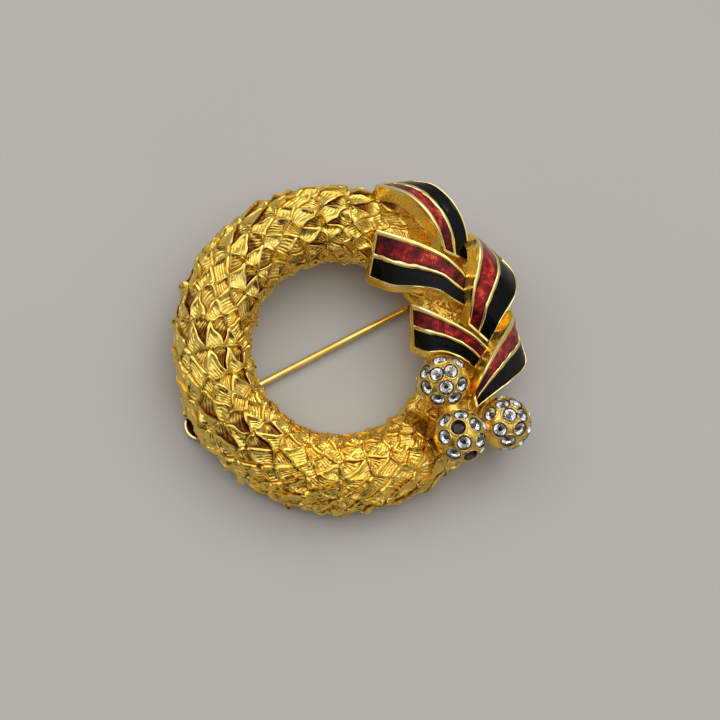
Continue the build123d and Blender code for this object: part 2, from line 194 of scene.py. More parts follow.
Station = namedtuple("Station", "angle1 side1 rise1 angle2 side2 rise2")
band_rails = {
    "1": [
        Station(77.8, 1.03, 0.79, 66.6, 1.53, 0.66),
        Station(72.1, 0.94, 1.05, 60.7, 1.58, 0.92),
        Station(66.1, 0.84, 1.25, 54.4, 1.43, 1.12),
        Station(58.4, 0.62, 1.38, 47.6, 1.22, 1.18),
        Station(51.3, 0.42, 1.36, 40.9, 0.96, 1.12),
        Station(43.1, 0.22, 1.14, 33.4, 0.62, 1.00),
    ],
    "2": [
        Station(73.5, -0.18, 0.92, 67.4, -1.37, 0.53),
        Station(62.0, -0.20, 1.18, 49.8, -1.39, 0.92),
        Station(50.0, -0.10, 1.35, 36.6, -1.00, 1.18),
        Station(40.0, 0.05, 1.42, 28.5, -0.62, 1.29),
        Station(33.0, 0.18, 1.36, 19.8, -0.30, 1.26),
        Station(28.9, 0.26, 1.24, 14.4, 0.11, 1.10),
    ],
    "3": [
        Station(41.3, 1.17, 1.05, 28.9, 1.64, 0.66),
        Station(37.8, 1.03, 1.32, 22.5, 1.70, 0.79),
        Station(34.3, 0.85, 1.45, 17.1, 1.47, 1.05),
        Station(29.7, 0.55, 1.51, 13.3, 1.17, 1.18),
        Station(22.8, 0.18, 1.51, 8.2, 0.78, 1.25),
        Station(15.4, 0.00, 1.36, 4.0, 0.60, 1.16),
        Station(8.6, -0.10, 1.16, 0.2, 0.45, 1.06),
    ],
    "4": [
        Station(30.6, -1.26, 0.92, -2.9, -1.43, 0.66),
        Station(23.0, -1.05, 1.10, -7.5, -1.15, 0.98),
        Station(13.2, -0.70, 1.27, -6.2, -0.81, 1.12),
        Station(7.2, -0.38, 1.36, -7.7, -0.46, 1.20),
        Station(2.0, -0.03, 1.40, -9.8, -0.15, 1.20),
        Station(-2.9, 0.36, 1.30, -12.0, 0.11, 1.12),
    ],
    "5": [
        Station(11.6, 1.19, 1.05, 3.3, 1.52, 0.53),
        Station(7.7, 1.06, 1.25, -5.3, 1.63, 0.66),
        Station(2.6, 0.77, 1.40, -12.2, 1.20, 0.92),
        Station(-4.1, 0.47, 1.52, -16.0, 0.95, 1.02),
        Station(-11.6, 0.28, 1.52, -21.0, 0.68, 1.12),
        Station(-19.8, 0.20, 1.38, -25.2, 0.50, 1.20),
        Station(-23.5, 0.24, 1.26, -26.8, 0.44, 1.20),
    ],
}

# How far a band's gold flanks spread at its first and last end, and the shares of its top
BandTrim = namedtuple("BandTrim", "inner_start inner_end outer_start outer_end red_share outer_gold")
band_trims = {
    "1": BandTrim(1.7, 0.8, 0.0, 0.0, 0.41, 0.3),
    "2": BandTrim(0.2, 0.2, 0.45, 0.3, 0.50, 1.0),
    "3": BandTrim(1.9, 0.3, 0.0, 0.0, 0.48, 0.7),
    "4": BandTrim(0.2, 0.2, 0.3, 0.2, 0.47, 1.0),
    "5": BandTrim(1.7, 0.3, 0.0, 0.0, 0.47, 0.8),
}

Ball = namedtuple("Ball", "angle side")
balls = {
    "upper": Ball(-22.4, -0.59),
    "lower": Ball(-39.8, 0.46),
    "outer": Ball(-26.0, 1.37),
}
Seat = namedtuple("Seat", "azimuth elevation filled", defaults=[True])
stone_seats = {
    "upper": [
        Seat(158, 26), Seat(160, 59), Seat(79, 73),
        Seat(-160, 30), Seat(-111, 68), Seat(-21, 56),
        Seat(-117, 32), Seat(-70, 41), Seat(110, 34),
        Seat(56, 37), Seat(-150, -14), Seat(165, -18),
    ],
    "lower": [
        Seat(144, 27), Seat(100, 44), Seat(40, 60),
        Seat(-169, 38), Seat(-102, 66), Seat(-24, 47),
        Seat(-118, 30), Seat(147, 69, False), Seat(-72, 30, False),
        Seat(-33, 15), Seat(23, 25), Seat(-92, -9),
        Seat(-50, -18),
    ],
    "outer": [
        Seat(157, 38), Seat(109, 44), Seat(99, 77),
        Seat(26, 55), Seat(-140, 57), Seat(-38, 60),
        Seat(-93, 42), Seat(-14, 23), Seat(66, 36),
        Seat(-49, 17), Seat(22, 14), Seat(-20, -10),
        Seat(-85, 5), Seat(56, 2), Seat(92, 8),
    ],
}

# Sizes worked out from the ones above
half_rows = 2 * scale_rows
ball_radius = ball_diameter / 2
stone_radius = stone_diameter / 2
ring_base_radius = ring_mid_radius + ring_half_width - flank_inset
hole_base_radius = 2 * ring_mid_radius - ring_base_radius


# From the ring's own frame to the place where the brooch lies

def ring_matrix():
    """The laid brooch's frame, read from its pin: the stem runs along one axis, the rivet
    along the next, and the third points out of the brooch's front. The stem's mount is at
    its middle."""
    hinge = frame["joints"][0]
    stem_mount = frame["record"]["mounts"][0]
    along = Vector(stem_mount["axis"]).normalized()
    across = Vector(hinge["axis"]).normalized()
    out = along.cross(across)
    origin = Vector(stem_mount["pos_m"]) - mm * (across * stem_offset - out * stem_drop)
    axes = Matrix((along, across, out)).transposed()
    turned = axes @ Matrix.Rotation(-math.radians(stem_direction), 3, "Z")
    return Matrix.Translation(origin) @ (turned * mm).to_4x4()


laid = ring_matrix()


def place(points):
    """Points of the ring's frame, in millimetres, as points of the scene."""
    rows = np.array(laid)
    return np.asarray(points) @ rows[:3, :3].T + rows[:3, 3]


def add_object(name, data):
    added = bpy.data.objects.new(name, data)
    bpy.context.scene.collection.objects.link(added)
    return added


def add_mesh(name, points, faces, closed=True, **marks):
    """A new piece from points in the ring's frame, riding with the brooch's body. An open
    sheet's faces already look outwards, and its doubled points are joined. A mark is a
    number for each point, read by a material."""
    mesh = bpy.data.meshes.new(name)
    mesh.from_pydata(place(points).tolist(), [], faces)
    for mark, values in marks.items():
        mesh.attributes.new(mark, "FLOAT", "POINT").data.foreach_set("value", values)
    shell = bmesh.new()
    shell.from_mesh(mesh)
    if closed:
        bmesh.ops.recalc_face_normals(shell, faces=shell.faces)
    else:
        bmesh.ops.remove_doubles(shell, verts=shell.verts, dist=join_distance * mm)
    shell.to_mesh(mesh)
    shell.free()
    piece = add_object(name, mesh)
    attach(piece, "brooch")
    return piece


def smooth(piece, sharp_degrees):
    piece.data.shade_smooth()
    piece.data.set_sharp_from_angle(angle=math.radians(sharp_degrees))


def sheet(grids):
    """Points and quads of several stacks of grids, each an array of grid, row, column, point."""
    points, faces, start = [], [], 0
    for stack in grids:
        count, rows, columns = stack.shape[:3]
        first = np.arange(count)[:, None, None] * rows * columns
        corner = start + first + np.arange(rows - 1)[:, None] * columns + np.arange(columns - 1)
        quads = np.stack([corner, corner + 1, corner + columns + 1, corner + columns], axis=-1)
        faces.append(quads.reshape(-1, 4))
        points.append(stack.reshape(-1, stack.shape[-1]))
        start += count * rows * columns
    return np.concatenate(points), np.concatenate(faces).tolist()


def tube_faces(start, rings, count):
    """Quads between closed rings of count points each, numbered from start."""
    faces = []
    for i in range(rings - 1):
        for j in range(count):
            a = start + i * count + j
            b = start + i * count + (j + 1) % count
            faces.append((a, b, b + count, a + count))
    return faces


def ease(x):
    x = np.clip(x, 0, 1)
    return x * x * (3 - 2 * x)


def noise_at(points, size, shift=Vector()):
    return np.array([noise.noise(Vector(p) / size + shift) for p in points])


def on_ring(angle, side):
    """x and y of a place on the ring, with side -1 at its inner edge and 1 at its outer."""
    radius = ring_mid_radius + side * ring_half_width
    return radius * math.cos(math.radians(angle)), radius * math.sin(math.radians(angle))


# Ring

def section_values(column, angle):
    angles = [s.angle for s in ring_sections]
    return np.interp(signed_angle(angle), angles, [getattr(s, column) for s in ring_sections])


def dome_points(angle, turn, lift):
    """Points of the ring's domed surface. turn runs from 0 outside to 180 inside."""
    lean = np.radians(turn)
    dome = ring_height * section_values("height_share", angle) - flank_height
    radius = ring_mid_radius + (ring_half_width + lift) * np.cos(lean)
    z = flank_height + (dome + lift) * np.sin(lean)
    way = np.radians(angle)
    return np.stack([radius * np.cos(way), radius * np.sin(way), z], axis=-1)


def signed_angle(angle):
    return (np.asarray(angle) + 180) % 360 - 180


def angle_of(points):
    return np.degrees(np.arctan2(points[:, 1], points[:, 0]))


def within(angle, stretch):
    """1 along a stretch of the ring and 0 outside it, with soft ends."""
    signed = signed_angle(angle)
    return ease((signed - stretch.start) / stretch.fade) * ease((stretch.end - signed) / stretch.fade)


def stippled(angle):
    """Where the casting is finely pitted: under the plait, and round the ring's lower part."""
    return np.maximum(within(angle, under_plait), within(angle, pitted_low))


def relief_at(angle, turn):
    """Share of the full relief: less under the plait and the balls, least on the plain
    stretch low on the outside, and calmer at the inner edge."""
    plain = within(angle, plain_stretch) * ease((plain_turn - turn) / plain_stretch.fade)
    calm = inner_relief + (1 - inner_relief) * ease((180 - turn) / inner_turn)
    under = 1 - under_plait.calm * within(angle, under_plait) - under_balls.calm * within(angle, under_balls)
    return section_values("relief_share", angle) * (1 - plain_stretch.calm * plain) * calm * under


def wobble(j, k, seed):
    """Small repeatable unevenness of the hand-carved pattern, from -1 to 1. Each trait of
    a scale has a seed of its own."""
    return math.sin(12.99 * j + 78.23 * k + 37.72 * seed)


def lattice(j, k):
    """Angle and turn of the corner at half row j and column k."""
    row = j % half_rows
    turn = 180 / scale_columns * k
    if k in (0, scale_columns):
        return 360 / half_rows * j, turn
    angle = 360 / half_rows * (j + stray_along * wobble(row, k, 1))
    return angle, turn + 180 / scale_columns * stray_across * wobble(row, k, 2)


def corner_lift(j, k, level):
    if k in (0, scale_columns):
        return 0.0
    row = j % half_rows
    lift = {
        "tip": scale_rise * tip_lift * (1 + tip_variety * wobble(row, k, 3)),
        "side": scale_rise * (side_lift + side_variety * wobble(row, k, 8)),
        "base": -scale_dip * (1 + side_variety * wobble(row, k, 9)),
    }[level]
    return lift * float(relief_at(*lattice(j, k)))


def blend_corners(values, u, v):
    """Values at a scale's corners, spread over it. u runs outwards and v inwards."""
    base, outer, inner, tip = values
    return (1 - u) * (1 - v) * base + u * (1 - v) * outer + (1 - u) * v * inner + u * v * tip


def scale_patch(j, k):
    """Angle, turn, lift and darkness over one scale. Its two edges at the tip carry a raised
    rim, and behind the rim the scale is scooped out, creased and grooved. The darkness is
    painted shade along the crevice at its base and in its grooves, and on some scales a
    painted dark reflection near the base."""
    corners = [(j + 1, k, "base"), (j, max(k - 1, 0), "side"),
               (j, min(k + 1, scale_columns), "side"), (j - 1, k, "tip")]
    places = [lattice(cj, ck) for cj, ck, _ in corners]
    lifts = [corner_lift(*corner) for corner in corners]
    steps = np.linspace(0, 1, scale_steps + 1)
    u, v = np.meshgrid(steps, steps, indexing="ij")
    on_edge = k in (0, scale_columns)
    blunt = 0 if on_edge else tip_blunt * (0.8 + 0.6 * wobble(j, k, 12)) * (u * v) ** 5
    angle = blend_corners([p[0] for p in places], u, v) + 360 / half_rows * blunt
    turn = blend_corners([p[1] for p in places], u, v)
    open_u, open_v = k > 0, k < scale_columns
    to_u = scale_side * (1 - u) if open_u else np.full_like(u, scale_side)
    to_v = scale_side * (1 - v) if open_v else np.full_like(v, scale_side)
    from_base = np.minimum(u, v)

    def rim(inwards, along, seed):
        high = 0.8 + 0.4 * wobble(j, k, seed)
        return high * np.sin(np.pi * np.clip(inwards / rim_width, 0, 1)) * ease(along / 0.25)

    behind = ease((np.minimum(to_u, to_v) - 0.7 * rim_width) / scoop_run)
    hollow = behind * ease(from_base / 0.5) * ease((u + v) / 1.3)
    crease = behind * ease(from_base / 0.15) * np.clip(1 - 2 * np.abs(u - v), 0, 1)
    along_u = wobble(j, k, 6) > (0.35 if k < scale_columns / 2 else -0.35)
    stroke = np.where(np.arange(scale_steps + 1) % groove_steps == 0, -1.0, 0.5)
    stroke = np.broadcast_to(stroke[:, None] if along_u else stroke[None, :], u.shape)
    groove = behind * ease(from_base / 0.1) * stroke
    carved = (
        rim_rise * np.maximum(rim(to_u, v, 14), rim(to_v, u, 15))
        - scoop_depth * (0.8 + 0.5 * wobble(j, k, 5)) * hollow
        + crease_depth * wobble(j, k, 13) * crease
        + groove_depth * (0.85 + 0.35 * wobble(j, k, 7)) * groove
        + scale_lean * wobble(j, k, 11) * (u - v)
        - tip_droop * (u * v) ** 7
    )
    if not open_u:
        carved = carved * ease((1 - u) * v / 0.2)
    if not open_v:
        carved = carved * ease(u * (1 - v) / 0.2)
    # Painted light: a painted dark reflection near the base of some scales, and painted shade along the crevice at
    # the base and in the grooves
    shade = float(ease((wobble(j, k, 16) - 0.5) / 0.4)) * (1 - 0.8 * stippled(angle))
    deep = shade * ease((1.15 - u - v) / 0.5)
    crevice_shade = 0.65 * ease(1 - scale_side * from_base / crevice_width)
    groove_shade = (0.35 + 0.15 * wobble(j, k, 17)) * behind * ease(from_base / 0.1) * (stroke < 0)
    relief = relief_at(angle, turn)
    deep = np.maximum(deep, np.maximum(crevice_shade, groove_shade)) * relief
    return angle, turn, blend_corners(lifts, u, v) + relief * carved, deep


# Without a seed, noise_vector would differ in each run
noise.seed_set(waver_seed)


def pulled(angle, turn):
    """The lattice pulled out of true, as by a carver's hand, and held at the flanks."""
    start = dome_points(angle, turn, np.zeros_like(angle)).reshape(-1, 3)
    pulls = np.array([noise.noise_vector(Vector(p) / waver_size) for p in start]).reshape(*angle.shape, 3)
    hold = line_waver * ease(np.minimum(turn, 180 - turn) / 20)
    along = np.degrees(hold / ring_mid_radius)
    across = np.degrees(hold / ring_half_width)
    return angle + along * pulls[..., 0], turn + across * pulls[..., 1]


def cast(points):
    """The soft lumps and the pitting of a casting, fading out towards the back."""
    rows = points[..., :3].reshape(-1, 3)
    away = np.hypot(rows[:, 0], rows[:, 1])
    section = np.stack([away - ring_mid_radius, rows[:, 2] - flank_height], axis=-1)
    section = section / np.linalg.norm(section, axis=1)[:, None]
    out = np.column_stack([rows[:, :2] * (section[:, 0] / away)[:, None], section[:, 1]])
    pitted = stipple_least + (1 - stipple_least) * stippled(angle_of(rows))
    depth = stipple_depth * pitted * noise_at(rows, stipple_size)
    for size, high in cast_lumps:
        depth += high * noise_at(rows, size)
    knobs = np.maximum(noise_at(rows, edge_lump_size, edge_lump_shift), edge_lump_dent)
    rise = np.where(section[:, 0] > 0, outer_lump_rise, inner_lump_rise)
    depth += rise * knobs * ease((np.abs(section[:, 0]) - 0.4) / 0.5)
    depth *= ease(rows[:, 2] / cast_fade_height)
    moved = points.copy()
    moved[..., :3] = (rows + out * depth[:, None]).reshape(*points.shape[:-1], 3)
    return moved


def flank_rows(top, j, side_radius):
    """Plain flank from a scale's own edge down to the back plane, truly round low down."""
    angle = np.radians(360 / half_rows * (j + 1 - 2 * np.linspace(0, 1, len(top))))
    foot = np.stack([side_radius * np.cos(angle), side_radius * np.sin(angle), 0 * angle, 0 * angle], axis=-1)
    lower = []
    for share in np.arange(1, flank_steps) / flank_steps:
        row = top + (foot - top) * ease(flank_quickness * share)
        row[:, 2] = top[:, 2] * (1 - share)
        lower.append(cast(row))
    return np.array([top, *lower, foot])


def channel_floor(j):
    """Depth of the back's channel, which stops at the pads under the pin's two plates."""
    angle = 360 / half_rows * j
    pads = (stem_direction, stem_direction + 180)
    on_pad = any(abs(signed_angle(angle - pad)) <= pad_half_angle for pad in pads)
    return 0 if on_pad else channel_depth


def back_rows():
    """The back and its channel, from the inside outwards."""
    steps = np.arange(half_rows * scale_steps + 1) / scale_steps
    floors = [channel_floor(j) for j in range(half_rows + 1)]
    floor = np.interp(steps, np.arange(half_rows + 1), floors)
    way = np.radians(360 / half_rows * steps)
    half = channel_width / 2
    profile = [
        (hole_base_radius, 0),
        (ring_mid_radius - half, 0),
        (ring_mid_radius - half + channel_draft, 1),
        (ring_mid_radius + half - channel_draft, 1),
        (ring_mid_radius + half, 0),
        (ring_base_radius, 0),
    ]
    rows = [(r * np.cos(way), r * np.sin(way), d * floor, 0 * way) for r, d in profile]
    return np.array([np.stack(row, axis=-1) for row in rows])


def make_ring_sheets():
    """The outer half of the ring's columns with their flank, and the inner half with the back."""
    patches = [(j, k) for j in range(half_rows) for k in range(scale_columns + 1) if (j + k) % 2 == 0]
    # deep is the painted shade and painted dark reflection of each scale's carving
    angle, turn, lift, deep = (np.array(values) for values in zip(*[scale_patch(j, k) for j, k in patches]))
    surface = dome_points(*pulled(angle, turn), lift)
    surface = cast(np.concatenate([surface, deep[..., None]], axis=-1))
    patch_at = dict(zip(patches, surface))

    def columns_sheet(columns):
        scales, walls, closers, flanks = [], [], [], []
        for (j, k), scale in patch_at.items():
            if k not in columns:
                continue
            scales.append(scale)
            ahead = (j - 1) % half_rows
            if k > 0:
                walls.append([scale[-1], patch_at[ahead, k - 1][0]])
            if k < scale_columns:
                walls.append([patch_at[ahead, k + 1][:, 0], scale[:, -1]])
            if 0 < k < scale_columns:
                tip, outer = scale[-1, -1], patch_at[ahead, k + 1][-1, 0]
                inner, base = patch_at[ahead, k - 1][0, -1], patch_at[(j - 2) % half_rows, k][0, 0]
                closers.append([[tip, inner], [outer, base]])
            if k == 0:
                top = np.concatenate([scale[:, 0], scale[-1, 1:]])
                flanks.append(flank_rows(top, j, ring_base_radius))
            if k == scale_columns:
                top = np.concatenate([scale[0], scale[1:, -1]])
                flanks.append(flank_rows(top, j, hole_base_radius)[::-1])
        return [np.array(stack) for stack in (scales, walls, closers, flanks)]

    middle = (scale_columns + 1) // 2
    outer_half = columns_sheet(range(middle))
    inner_half = columns_sheet(range(middle, scale_columns + 1)) + [back_rows()[None]]
    return outer_half, inner_half


ring_pieces = []
for name, grids in zip(("ring_scales_outer", "ring_scales_inner"), make_ring_sheets()):
    points, faces = sheet(grids)
    pits = stippled(angle_of(points))
    # The mark deep carries the carving's painted shade and painted dark reflections to the gold's colour
    piece = add_mesh(name, points[:, :3], faces, closed=False, deep=points[:, 3], pitted=pits)
    smooth(piece, 30)
    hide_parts("wreath_ring")
    ring_pieces.append(piece)


# Ribbon bands

def rail_point(angle, side, rise):
    return Vector((*on_ring(angle, side), rise * ring_height))


def curve_through(points):
    """Points on a smooth curve through the given ones, with even steps in each span."""
    ends = [points[0] * 2 - points[1], *points, points[-1] * 2 - points[-2]]
    curve = []
    for before, start, end, after in zip(ends, ends[1:], ends[2:], ends[3:]):
        start_slope = (end - before) / 2
        end_slope = (after - start) / 2
        for step in range(stations_per_span):
            t = step / stations_per_span
            share = t * t * (3 - 2 * t)
            curve.append(
                start * (1 - share) + end * share
                + start_slope * (t * (1 - t) ** 2) - end_slope * (t * t * (1 - t))
            )
    curve.append(points[-1])
    return curve


BandFrame = namedtuple("BandFrame", "origin across up width narrowing distance foot far_foot")


def band_frames(rails, trim):
    """Frames along a band between its two rails, with the feet of its flanks."""
    first = curve_through([rail_point(s.angle1, s.side1, s.rise1) for s in rails])
    second = curve_through([rail_point(s.angle2, s.side2, s.rise2) for s in rails])
    along = (first[1] + second[1] - first[0] - second[0]).normalized()
    back = (first[-1] + second[-1] - first[-2] - second[-2]).normalized()
    for rail in (first, second):
        rail.insert(1, rail[0] + along * band_end_wall)
        rail.insert(-1, rail[-1] - back * band_end_wall)
    widest = max((b - a).length for a, b in zip(first, second))
    frames = []
    distance = 0.0
    for i, (a, b) in enumerate(zip(first, second)):
        low, high = max(i - 1, 0), min(i + 1, len(first) - 1)
        path = (first[high] + second[high]) - (first[low] + second[low])
        across = b - a
        up = across.cross(path).normalized()
        if up.z < 0:
            up = -up
        if i:
            distance += ((a + b) / 2 - (first[i - 1] + second[i - 1]) / 2).length
        share = i / (len(first) - 1)
        feet = []
        for rail, way, start, end in (
            (first, -across, trim.inner_start, trim.inner_end),
            (second, across, trim.outer_start, trim.outer_end),
        ):
            spread = start * (1 - share) + end * share
            sideways = Vector((0, 0, 1)).cross(rail[high] - rail[low]).normalized()
            if sideways.dot(way) < 0:
                sideways = -sideways
            drop = flank_drop if spread > wide_flank else band_thickness
            feet.append(sideways * spread - Vector((0, 0, drop)))
        width = across.length
        frames.append(BandFrame(a, across.normalized(), up, width, width / widest, distance, *feet))
    return frames


def frame_point(frame_at, across, up):
    return frame_at.origin + frame_at.across * across + frame_at.up * up


def channel_edges(frame_at, seed, trim):
    """Both sides of the red and the black channel, wavering as the real hand-laid lines do.
    The gold spreads a little over the edges that the solids have."""
    inner = (band_inner_edge + gold_flare) * frame_at.narrowing
    divider = (band_divider + 2 * gold_flare) * frame_at.narrowing
    outer = band_outer_edge * trim.outer_gold * frame_at.narrowing
    red_width = trim.red_share * (frame_at.width - inner - divider - outer)
    edges = [inner, inner + red_width, inner + red_width + divider, frame_at.width - outer]
    waver = []
    for line, edge in enumerate(edges):
        wave = noise.noise(Vector((frame_at.distance / waver_run, waver_apart * line, seed)))
        held = outer_waver_share if line == 3 else 1.0
        waver.append(edge + hand_waver * held * frame_at.narrowing * wave)
    return waver


def band_outline(frame_at, seed, trim, solid):
    """Section of the gold: rounded rims that stand a little over the enamel, and flanks
    that spread down to the ring."""
    width = frame_at.width
    red_low, red_high, black_low, black_high = channel_edges(frame_at, seed, trim)
    soft = gold_rim_round * frame_at.narrowing
    rise = gold_rim_rise * frame_at.narrowing
    lip = [(-soft, rise), (-0.3 * soft, 0.4 * rise), (0, -0.4 * soft), (0, -enamel_depth)]
    channels = []
    for low, high in ((red_low, red_high), (black_low, black_high)):
        channels += [(low + out, up) for out, up in lip] + [(high - out, up) for out, up in lip[::-1]]
    if solid:
        channels = [(across, rise) for across, _ in channels]
    edge = [(0.0, -0.9 * soft), (0.3 * soft, 0.3 * rise), (soft, rise)]
    far = min(soft, 0.4 * (width - black_high))
    far_edge = [(width - far, 0.8 * rise), (width - 0.3 * far, 0.1 * rise), (width, -0.9 * soft)]
    outline = [frame_point(frame_at, *point) for point in edge + channels + far_edge]
    far_side = frame_point(frame_at, width, 0)
    hollowed = ((0.12, 0.3), (0.5, 0.2), (1.0, 0.0))
    for side, foot, steps in (
        (far_side, frame_at.far_foot, hollowed),
        (frame_at.origin, frame_at.foot, hollowed[::-1]),
    ):
        outline += [side + foot * share - frame_at.up * deep for share, deep in steps]
    return outline


def rounded_end(outline, outwards):
    """Sections that close a band's end in a small round."""
    middle = sum(outline, Vector()) / len(outline)
    return [
        [middle + (point - middle) * size + outwards * reach for point in outline]
        for size, reach in end_round
    ]


def enamel_outline(frame_at, seed, trim, colour):
    """Section of one enamel: it meets the gold in a small rise and swells between."""
    edges = channel_edges(frame_at, seed, trim)
    low, high = edges[2 * colour], edges[2 * colour + 1]
    swell = enamel_swell * frame_at.narrowing
    top = []
    for i in range(enamel_spans + 1):
        share = i / enamel_spans
        arch = 1 - (2 * share - 1) ** 2
        meniscus = enamel_edge_rise * abs(2 * share - 1) ** 6
        top.append((low + (high - low) * share, enamel_level + swell * arch + meniscus))
    outline = top + [(high, -0.9 * enamel_depth), (low, -0.9 * enamel_depth)]
    return [frame_point(frame_at, *point) for point in outline]


def skin(name, sections):
    """Piece from closed outlines with the same number of points, capped at its ends."""
    count = len(sections[0])
    points = [tuple(point) for section in sections for point in section]
    caps = [tuple(range(count))[::-1], tuple(range(len(points) - count, len(points)))]
    return add_mesh(name, np.array(points), caps + tube_faces(0, len(sections), count))


def mark_along(piece, frames):
    """Stores on each point how far along its band it lies, in millimetres and as a share, and
    its share across the enamel's top."""
    count = len(piece.data.vertices) // len(frames)
    store = piece.data.attributes.new("along", "FLOAT_VECTOR", "POINT")
    for index in range(len(piece.data.vertices)):
        frame_at = frames[index // count]
        share = (frame_at.distance - frames[0].distance) / (frames[-1].distance - frames[0].distance)
        store.data[index].vector = (frame_at.distance, share, min(index % count / enamel_spans, 1))


# Points round a band's outline, and the faces of its flanks and its underside
outline_points = 28
flank_faces = range(22, 27)

ribbon_pieces, red_pieces, black_pieces = [], [], []
for seed, (name, rails) in enumerate(band_rails.items()):
    trim = band_trims[name]
    frames = band_frames(rails, trim)
    last = len(frames) - 1
    sections = [
        band_outline(frame_at, seed, trim, i in (0, 1, last - 1, last))
        for i, frame_at in enumerate(frames)
    ]
    start_way = (frames[0].origin - frames[1].origin).normalized()
    end_way = (frames[last].origin - frames[last - 1].origin).normalized()
    sections = rounded_end(sections[0], start_way) + sections + rounded_end(sections[-1], end_way)[::-1]
    ribbon = skin("ribbon_gold_" + name, sections)
    smooth(ribbon, 40)
    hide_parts("ribbon_" + name)
    ribbon_pieces.append(ribbon)
    for colour, (word, pieces) in enumerate((("red", red_pieces), ("black", black_pieces))):
        inside = frames[2:-2]
        sections = [enamel_outline(frame_at, seed, trim, colour) for frame_at in inside]
        enamel = skin("enamel_{}_fill_{}".format(word, name), sections)
        mark_along(enamel, inside)
        smooth(enamel, 40)
        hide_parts("enamel_{}_{}".format(word, name))
        pieces.append(enamel)


# Balls

def ball_centre(ball):
    """Centre of a ball lowered onto the ring until only the solder gap is left."""
    x, y = on_ring(ball.angle, ball.side)
    angle, turn = np.meshgrid(ball.angle + np.arange(-16, 17), np.arange(0, 181, 5), indexing="ij")
    lift = scale_rise * section_values("relief_share", angle)
    surface = dome_points(angle, turn, lift).reshape(-1, 3)
    flat = np.hypot(surface[:, 0] - x, surface[:, 1] - y)
    reach = ball_radius + solder_gap
    under = surface[flat < reach]
    rise = np.sqrt(reach ** 2 - flat[flat < reach] ** 2)
    return np.array([x, y, float((under[:, 2] + rise).max())])


def seat_direction(seat):
    lean, way = math.radians(seat.elevation), math.radians(seat.azimuth)
    return np.array([math.cos(lean) * math.cos(way), math.cos(lean) * math.sin(way), math.sin(lean)])


def axes_along(pole):
    """Three square axes with the third along pole."""
    pole = np.asarray(pole) / np.linalg.norm(pole)
    side = np.cross([0.0, 0.0, -1.0], pole)
    side = side / np.linalg.norm(side)
    return np.array([side, np.cross(pole, side), pole])


def sphere_directions(pole):
    lean = np.pi * (np.arange(ball_rows + 1) / ball_rows)
    way = 2 * np.pi * np.arange(ball_columns) / ball_columns
    lean, way = np.meshgrid(lean, way, indexing="ij")
    local = np.stack([np.sin(lean) * np.cos(way), np.sin(lean) * np.sin(way), np.cos(lean)], axis=-1)
    return local.reshape(-1, 3) @ axes_along(pole)


def seated(directions, seats):
    """Distance of each direction's point from the ball's centre, and how dark it is.
    Directions next to a seat's edge are drawn onto it first, so that the edge is round."""
    seat_radius = stone_radius + stone_seat_clearance + seat_shadow
    edge = math.asin(seat_radius / ball_radius)
    spacing = 1.2 * math.pi / ball_rows / 2
    reach = np.full(len(directions), ball_radius)
    hole = np.zeros(len(directions))
    for seat in seats:
        out = seat_direction(seat)
        apart = np.arccos(np.clip(directions @ out, -1, 1))
        near = (np.abs(apart - edge) < spacing) & (apart > 1e-4)
        sideways = directions[near] - out * (directions[near] @ out)[:, None]
        sideways /= np.linalg.norm(sideways, axis=1)[:, None]
        directions[near] = out * math.cos(edge) + sideways * math.sin(edge)
        apart[near] = edge
        from_axis = ball_radius * np.sin(np.minimum(apart, math.pi / 2))
        over = (from_axis - seat_radius) / seat_rim_width
        bead = seat_rim_rise * np.sqrt(np.clip(1 - (2 * over - 1) ** 2, 0, 1))
        reach = np.where((over >= 0) & (over <= 1), np.maximum(reach, ball_radius + bead), reach)
        inside = (over < -0.02) & (apart < 1)
        depth = empty_seat_depth * (1 - empty_seat_hollow * (from_axis / seat_radius) ** 2)
        reach = np.where(inside, ball_radius - depth, reach)
        # Painted shade: the seat round and behind each stone and a line just outside its rim are marked dark; in
        # an empty seat the mark is dark residue and shade
        hole = np.where(inside | near, 1.0, hole)
        hole = np.maximum(hole, seat_line_shade * ((over > 1) & (over < 1 + seat_line_share)))
    return reach, hole


def make_balls():
    centres = {name: ball_centre(ball) for name, ball in balls.items()}
    points, faces, holes = [], [], []
    for name, centre in centres.items():
        start = sum(len(p) for p in points)
        other = centres["upper" if name == "lower" else "lower"]
        directions = sphere_directions(other - centre)
        reach, hole = seated(directions, stone_seats[name])
        points.append(centre + directions * reach[:, None])
        holes.append(hole)
        faces += tube_faces(start, ball_rows + 1, ball_columns)
    for other in ("upper", "outer"):
        start = sum(len(p) for p in points)
        near, far = centres["lower"], centres[other]
        axes = axes_along(far - near)
        turn = 2 * np.pi * np.arange(neck_sides) / neck_sides
        circle = np.cos(turn)[:, None] * axes[0] + np.sin(turn)[:, None] * axes[1]
        for centre in (near, far):
            points.append(centre + circle * neck_diameter / 2)
            holes.append(np.zeros(neck_sides))
        faces += tube_faces(start, 2, neck_sides)
        faces.append(tuple(range(start, start + neck_sides)))
        faces.append(tuple(range(start + neck_sides, start + 2 * neck_sides)))
    # The mark hole carries the painted shade of the seats and the dark residue of the empty ones
    return add_mesh("balls_gold", np.concatenate(points), faces, hole=np.concatenate(holes))


cluster = make_balls()
smooth(cluster, 45)
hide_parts("ball_cluster")


# Cut stones

